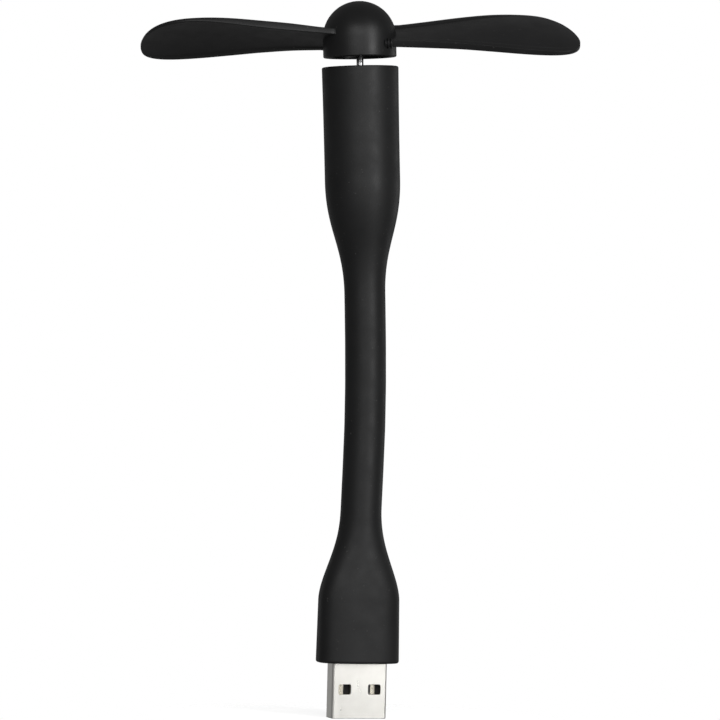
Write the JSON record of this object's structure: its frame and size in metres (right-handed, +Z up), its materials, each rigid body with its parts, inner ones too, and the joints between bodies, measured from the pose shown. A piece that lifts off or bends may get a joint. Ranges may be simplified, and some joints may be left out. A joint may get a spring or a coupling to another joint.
{
  "type": "desk fan",
  "caption": "Desk fan that plugs straight into a USB port: soft blades on a small brushed motor, in the head of a silicone body whose neck bends to any side and stays put.",
  "frame": {"origin": "centre of the USB plug at the shoulder of the base, the face that meets the port", "axes": "+Z up the body from the plug to the propeller; X along the plug's width; Y along its thickness, with the contacts' side of the tongue facing -Y"},
  "size_m": [0.0885, 0.0407, 0.152],
  "materials": {
    "silicone": "matte",
    "plug_steel": "nickel plated, satin",
    "tongue_plastic": "matte",
    "contact_metal": "gold plated, polished",
    "solder": "smooth",
    "mould_plastic": "matte",
    "lead_insulation": "satin",
    "core_steel": "drawn wire",
    "can_steel": "nickel plated",
    "magnet": "matte",
    "end_cap_plastic": "satin",
    "brush_copper": "satin",
    "bearing_bronze": "sintered, oiled",
    "spinner_plastic": "satin",
    "blade_rubber": "satin",
    "shaft_steel": "ground",
    "lamination_steel": "satin",
    "coil_copper": "enamelled",
    "washer_plastic": "satin"
  },
  "bodies": {
    "base": {"plug_shell": "plug_steel", "plug_tongue": "tongue_plastic", "plug_contacts": "contact_metal", "plug_solder": "solder", "plug_mould": "mould_plastic", "base_leads": "lead_insulation", "base_core_wire": "core_steel", "base_sleeve": "silicone"},
    "neck_01": {"neck_sleeve_01": "silicone", "neck_core_wire_01": "core_steel", "neck_leads_01": "lead_insulation"},
    "neck_02": {"neck_sleeve_02": "silicone", "neck_core_wire_02": "core_steel", "neck_leads_02": "lead_insulation"},
    "neck_03": {"neck_sleeve_03": "silicone", "neck_core_wire_03": "core_steel", "neck_leads_03": "lead_insulation"},
    "neck_04": {"neck_sleeve_04": "silicone", "neck_core_wire_04": "core_steel", "neck_leads_04": "lead_insulation"},
    "neck_05": {"neck_sleeve_05": "silicone", "neck_core_wire_05": "core_steel", "neck_leads_05": "lead_insulation"},
    "neck_06": {"neck_sleeve_06": "silicone", "neck_core_wire_06": "core_steel", "neck_leads_06": "lead_insulation"},
    "neck_07": {"neck_sleeve_07": "silicone", "neck_core_wire_07": "core_steel", "neck_leads_07": "lead_insulation"},
    "neck_08": {"neck_sleeve_08": "silicone", "neck_core_wire_08": "core_steel", "neck_leads_08": "lead_insulation"},
    "neck_09": {"neck_sleeve_09": "silicone", "neck_core_wire_09": "core_steel", "neck_leads_09": "lead_insulation"},
    "neck_10": {"neck_sleeve_10": "silicone", "neck_core_wire_10": "core_steel", "neck_leads_10": "lead_insulation"},
    "head": {"head_sleeve": "silicone", "head_cap": "mould_plastic", "head_core_wire": "core_steel", "head_leads": "lead_insulation", "motor_holder": "mould_plastic", "motor_can": "can_steel", "motor_magnets": "magnet", "motor_end_cap": "end_cap_plastic", "motor_brushes": "brush_copper", "motor_terminals": "brush_copper", "terminal_solder": "solder", "motor_bearings": "bearing_bronze"},
    "propeller": {"spinner_hub": "spinner_plastic", "hub_bush": "spinner_plastic", "blade_1": "blade_rubber", "blade_2": "blade_rubber", "motor_shaft": "shaft_steel", "rotor_core": "lamination_steel", "rotor_coils": "coil_copper", "rotor_washers": "washer_plastic", "commutator_core": "end_cap_plastic", "commutator_segments": "brush_copper"}
  },
  "joints": [
    {"name": "neck_side_bend_1", "type": "hinge", "parent": "base", "child": "neck_01", "pos_m": [0, 0, 0.032], "axis": [-0.0009, 1, 0], "range_deg": [-15, 15]},
    {"name": "neck_forward_bend_1", "type": "hinge", "parent": "neck_01", "child": "neck_02", "pos_m": [0.00011, 0, 0.0365], "axis": [0.9997, 0.0009, -0.0253], "range_deg": [-18, 18]},
    {"name": "neck_side_bend_2", "type": "hinge", "parent": "neck_02", "child": "neck_03", "pos_m": [0.00023, 0, 0.041], "axis": [-0.0009, 1, 0], "range_deg": [-15, 15]},
    {"name": "neck_forward_bend_2", "type": "hinge", "parent": "neck_03", "child": "neck_04", "pos_m": [0.00031, 0, 0.0455], "axis": [0.9998, 0.0009, -0.0183], "range_deg": [-18, 18]},
    {"name": "neck_side_bend_3", "type": "hinge", "parent": "neck_04", "child": "neck_05", "pos_m": [0.00039, 0, 0.05], "axis": [-0.0009, 1, 0], "range_deg": [-15, 15]},
    {"name": "neck_forward_bend_3", "type": "hinge", "parent": "neck_05", "child": "neck_06", "pos_m": [0.00036, 0, 0.0545], "axis": [1, 0.0009, 0.0065], "range_deg": [-18, 18]},
    {"name": "neck_side_bend_4", "type": "hinge", "parent": "neck_06", "child": "neck_07", "pos_m": [0.00033, 0, 0.059], "axis": [-0.0009, 1, 0], "range_deg": [-15, 15]},
    {"name": "neck_forward_bend_4", "type": "hinge", "parent": "neck_07", "child": "neck_08", "pos_m": [0.00022, 0, 0.06349], "axis": [0.9996, 0.0009, 0.0265], "range_deg": [-18, 18]},
    {"name": "neck_side_bend_5", "type": "hinge", "parent": "neck_08", "child": "neck_09", "pos_m": [0.0001, 0, 0.06799], "axis": [-0.0009, 1, 0], "range_deg": [-15, 15]},
    {"name": "neck_forward_bend_5", "type": "hinge", "parent": "neck_09", "child": "neck_10", "pos_m": [-0.00008, 0, 0.07249], "axis": [0.9992, 0.0009, 0.0387], "range_deg": [-18, 18]},
    {"name": "neck_side_bend_6", "type": "hinge", "parent": "neck_10", "child": "head", "pos_m": [-0.00025, 0, 0.07699], "axis": [-0.0009, 1, 0], "range_deg": [-15, 15]},
    {"name": "propeller_spin", "type": "hinge", "parent": "head", "child": "propeller", "pos_m": [-0.00258, 0, 0.12633], "axis": [-0.0471, 0, 0.9989], "continuous": true}
  ]
}
